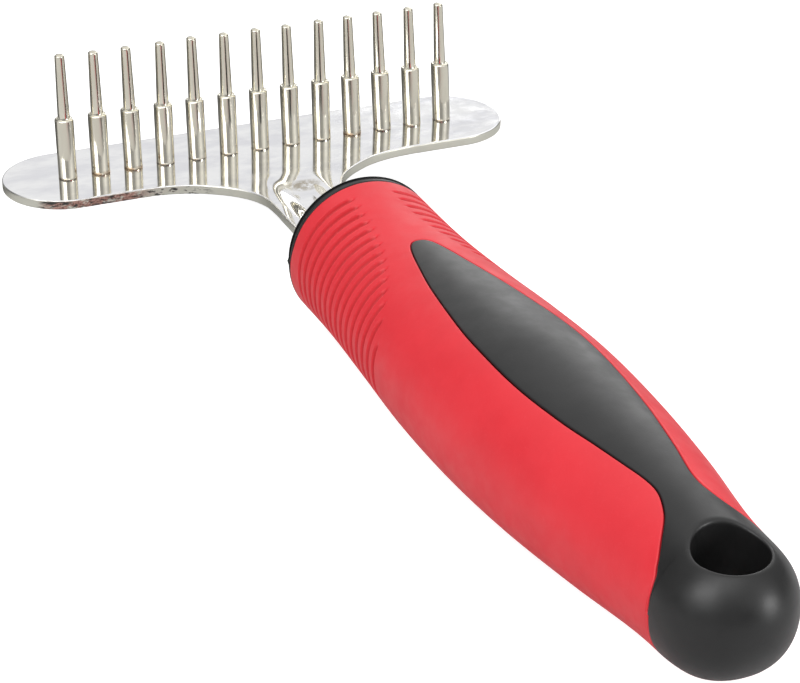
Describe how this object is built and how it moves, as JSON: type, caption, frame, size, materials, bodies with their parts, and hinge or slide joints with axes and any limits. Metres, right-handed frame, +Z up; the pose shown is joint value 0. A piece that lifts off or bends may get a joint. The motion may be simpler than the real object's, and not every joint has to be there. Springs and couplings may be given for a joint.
{
  "type": "undercoat rake",
  "caption": "Pet grooming rake with a single row of stepped metal pins on a flat T-shaped plate and a contoured handle with a hanging hole.",
  "frame": {"origin": "centre of the bounding box's bottom, under the belly of the handle", "axes": "+Z up, the way the pins point; +Y along the handle towards the pin row; +X along the pin row"},
  "size_m": [0.1004, 0.199, 0.0366],
  "materials": {
    "nickel_plate": "bright nickel plating, worn and rusted along the near edge",
    "nickel_pin": "bright nickel plating",
    "washer_steel": "plain steel",
    "core_plastic": "fine matte, black",
    "grip_rubber": "soft-touch, red"
  },
  "bodies": {
    "rake": {"rake_plate": "nickel_plate", "washer_01": "washer_steel", "washer_02": "washer_steel", "washer_03": "washer_steel", "washer_04": "washer_steel", "washer_05": "washer_steel", "washer_06": "washer_steel", "washer_07": "washer_steel", "washer_08": "washer_steel", "washer_09": "washer_steel", "washer_10": "washer_steel", "washer_11": "washer_steel", "washer_12": "washer_steel", "washer_13": "washer_steel", "handle_core": "core_plastic", "grip_sleeve": "grip_rubber"},
    "pin_01": {"pin_01": "nickel_pin"},
    "pin_02": {"pin_02": "nickel_pin"},
    "pin_03": {"pin_03": "nickel_pin"},
    "pin_04": {"pin_04": "nickel_pin"},
    "pin_05": {"pin_05": "nickel_pin"},
    "pin_06": {"pin_06": "nickel_pin"},
    "pin_07": {"pin_07": "nickel_pin"},
    "pin_08": {"pin_08": "nickel_pin"},
    "pin_09": {"pin_09": "nickel_pin"},
    "pin_10": {"pin_10": "nickel_pin"},
    "pin_11": {"pin_11": "nickel_pin"},
    "pin_12": {"pin_12": "nickel_pin"},
    "pin_13": {"pin_13": "nickel_pin"}
  },
  "joints": [
    {"name": "pin_01_spin", "type": "hinge", "parent": "rake", "child": "pin_01", "pos_m": [-0.0381, 0.0875, 0.0128], "axis": [0, 0, 1], "continuous": true},
    {"name": "pin_02_spin", "type": "hinge", "parent": "rake", "child": "pin_02", "pos_m": [-0.03175, 0.0875, 0.0128], "axis": [0, 0, 1], "continuous": true},
    {"name": "pin_03_spin", "type": "hinge", "parent": "rake", "child": "pin_03", "pos_m": [-0.0254, 0.0875, 0.0128], "axis": [0, 0, 1], "continuous": true},
    {"name": "pin_04_spin", "type": "hinge", "parent": "rake", "child": "pin_04", "pos_m": [-0.01905, 0.0875, 0.0128], "axis": [0, 0, 1], "continuous": true},
    {"name": "pin_05_spin", "type": "hinge", "parent": "rake", "child": "pin_05", "pos_m": [-0.0127, 0.0875, 0.0128], "axis": [0, 0, 1], "continuous": true},
    {"name": "pin_06_spin", "type": "hinge", "parent": "rake", "child": "pin_06", "pos_m": [-0.00635, 0.0875, 0.0128], "axis": [0, 0, 1], "continuous": true},
    {"name": "pin_07_spin", "type": "hinge", "parent": "rake", "child": "pin_07", "pos_m": [0, 0.0875, 0.0128], "axis": [0, 0, 1], "continuous": true},
    {"name": "pin_08_spin", "type": "hinge", "parent": "rake", "child": "pin_08", "pos_m": [0.00635, 0.0875, 0.0128], "axis": [0, 0, 1], "continuous": true},
    {"name": "pin_09_spin", "type": "hinge", "parent": "rake", "child": "pin_09", "pos_m": [0.0127, 0.0875, 0.0128], "axis": [0, 0, 1], "continuous": true},
    {"name": "pin_10_spin", "type": "hinge", "parent": "rake", "child": "pin_10", "pos_m": [0.01905, 0.0875, 0.0128], "axis": [0, 0, 1], "continuous": true},
    {"name": "pin_11_spin", "type": "hinge", "parent": "rake", "child": "pin_11", "pos_m": [0.0254, 0.0875, 0.0128], "axis": [0, 0, 1], "continuous": true},
    {"name": "pin_12_spin", "type": "hinge", "parent": "rake", "child": "pin_12", "pos_m": [0.03175, 0.0875, 0.0128], "axis": [0, 0, 1], "continuous": true},
    {"name": "pin_13_spin", "type": "hinge", "parent": "rake", "child": "pin_13", "pos_m": [0.0381, 0.0875, 0.0128], "axis": [0, 0, 1], "continuous": true}
  ]
}
